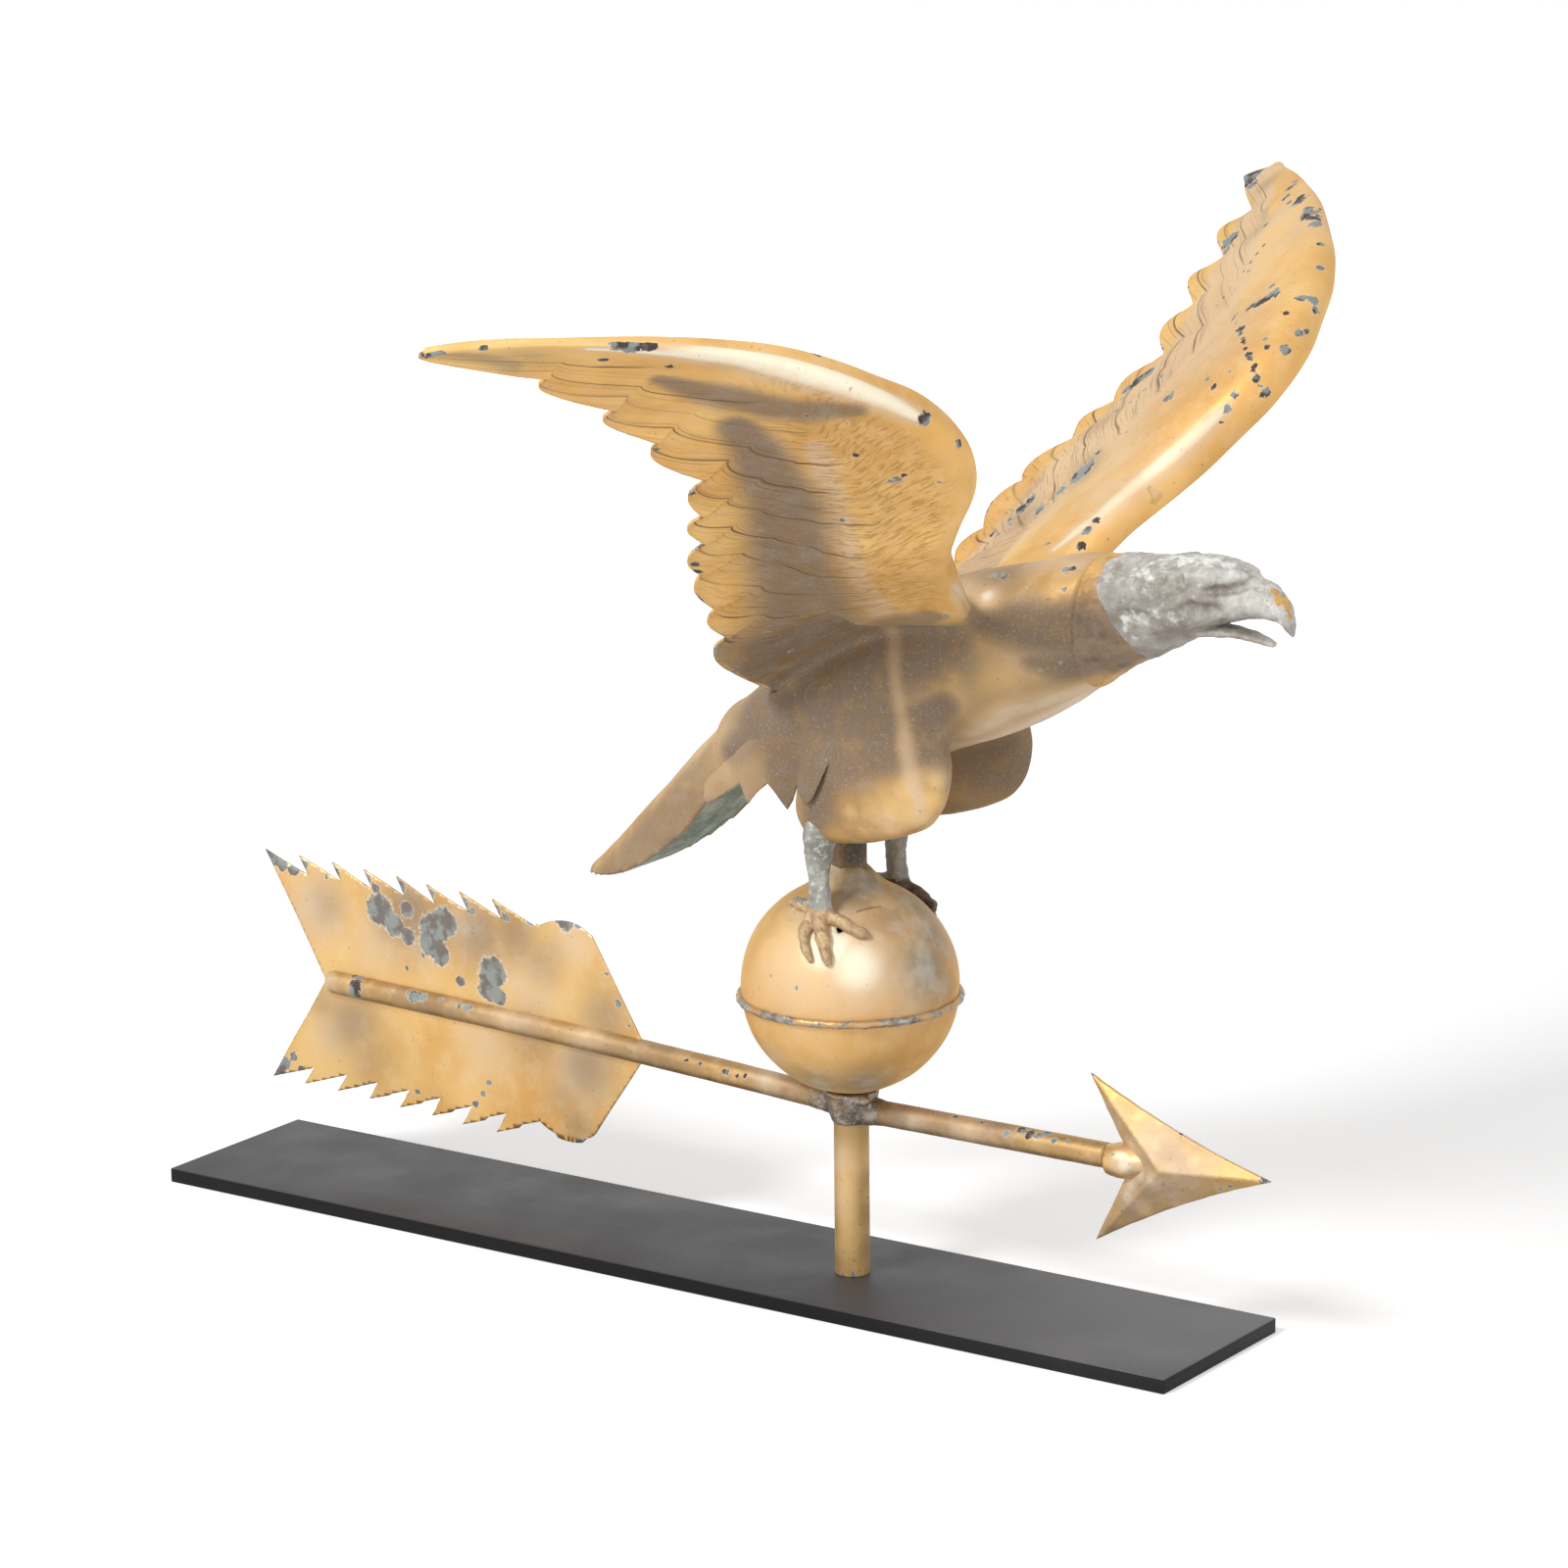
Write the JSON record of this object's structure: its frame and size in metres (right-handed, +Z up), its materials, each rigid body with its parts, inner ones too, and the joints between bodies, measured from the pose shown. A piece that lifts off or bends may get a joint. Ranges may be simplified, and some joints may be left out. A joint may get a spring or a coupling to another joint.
{
  "type": "eagle weathervane",
  "caption": "Full-bodied eagle weathervane: spread-winged bird on a ball above a feathered arrow, turning on an upright spindle in a long flat display plate.",
  "frame": {"origin": "centre of the post's axis on the underside of the base plate", "axes": "+Z up along the post, +X the way the bird and the arrow point at rest, +Y to the bird's left along the wings"},
  "size_m": [0.8215, 0.9142, 0.6657],
  "materials": {
    "plate_steel": "satin black paint with light dust and worn edges",
    "spindle_steel": "plain turned steel, hidden inside the post",
    "bronze": "plain bearing bronze, hidden inside the post",
    "worn_gilding": "worn gold leaf on copper, soft grey-brown tarnish and dark chips",
    "tarnished_gilding": "gold leaf dulled to grey brown, with pale rubbed streaks",
    "zinc": "bare cast zinc with chalky pale patches",
    "solder": "dull grey solder",
    "verdigris": "matt grey-green weathered copper"
  },
  "bodies": {
    "stand": {"base_plate": "plate_steel", "spindle_rod": "spindle_steel"},
    "vane": {"post_tube": "worn_gilding", "lower_guide_bush": "bronze", "top_bearing_plug": "bronze", "ball_lower_half": "worn_gilding", "ball_upper_half": "worn_gilding", "ball_seam_bead": "worn_gilding", "arrow_shaft_rear": "worn_gilding", "arrow_shaft_front": "worn_gilding", "arrow_joint_solder": "solder", "fletching_upper": "worn_gilding", "fletching_lower": "worn_gilding", "arrowhead_socket": "worn_gilding", "arrowhead_right_half": "worn_gilding", "arrowhead_left_half": "worn_gilding", "body_right_half": "tarnished_gilding", "body_left_half": "tarnished_gilding", "head_casting": "zinc", "right_wing_top": "worn_gilding", "right_wing_under": "worn_gilding", "left_wing_top": "worn_gilding", "left_wing_under": "worn_gilding", "tail_top": "tarnished_gilding", "tail_underside": "verdigris", "right_thigh": "tarnished_gilding", "left_thigh": "tarnished_gilding", "right_flank_feathers": "tarnished_gilding", "left_flank_feathers": "tarnished_gilding", "right_leg": "zinc", "left_leg": "zinc"}
  },
  "joints": [
    {"name": "vane_spin", "type": "hinge", "parent": "stand", "child": "vane", "pos_m": [0, 0, 0], "axis": [0, 0, 1], "continuous": true}
  ]
}
